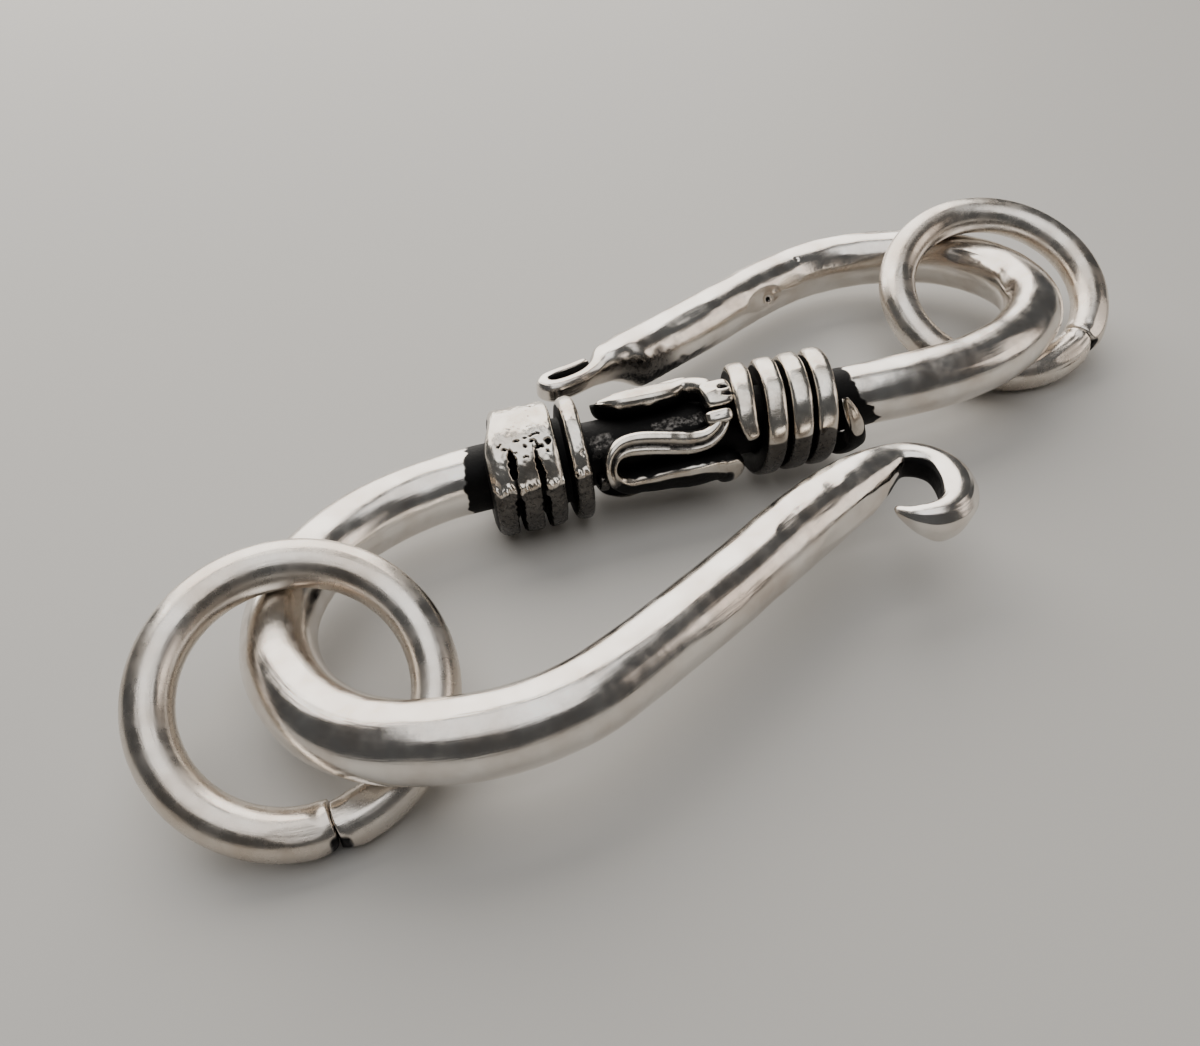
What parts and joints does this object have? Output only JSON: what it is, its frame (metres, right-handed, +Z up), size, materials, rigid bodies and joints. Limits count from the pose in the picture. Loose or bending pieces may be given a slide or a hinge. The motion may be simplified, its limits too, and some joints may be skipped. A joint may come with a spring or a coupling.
{
  "type": "s-hook clasp",
  "caption": "S-shaped hook clasp of thick round silver wire with curled tips, a wirework sleeve of collar, petals and coil on its shaft, and a jump ring in each bend",
  "frame": {"origin": "bottom centre of the box around the clasp and its two rings as they lie on a flat surface", "axes": "+X runs along the shaft towards the coil end, +Y points to the far leg of the S, +Z is up, square to the surface the clasp lies on"},
  "size_m": [0.04, 0.026, 0.0053],
  "materials": {
    "polished_silver": "hand-polished silver, slightly wavy",
    "oxidised_silver": "silver with blackened recesses",
    "ring_silver": "tumbled silver"
  },
  "bodies": {
    "root": {"s_wire": "polished_silver", "wrapped_collar": "oxidised_silver", "petal_wrap": "oxidised_silver", "coil_wrap": "oxidised_silver", "near_ring": "ring_silver", "far_ring": "ring_silver"}
  },
  "joints": []
}
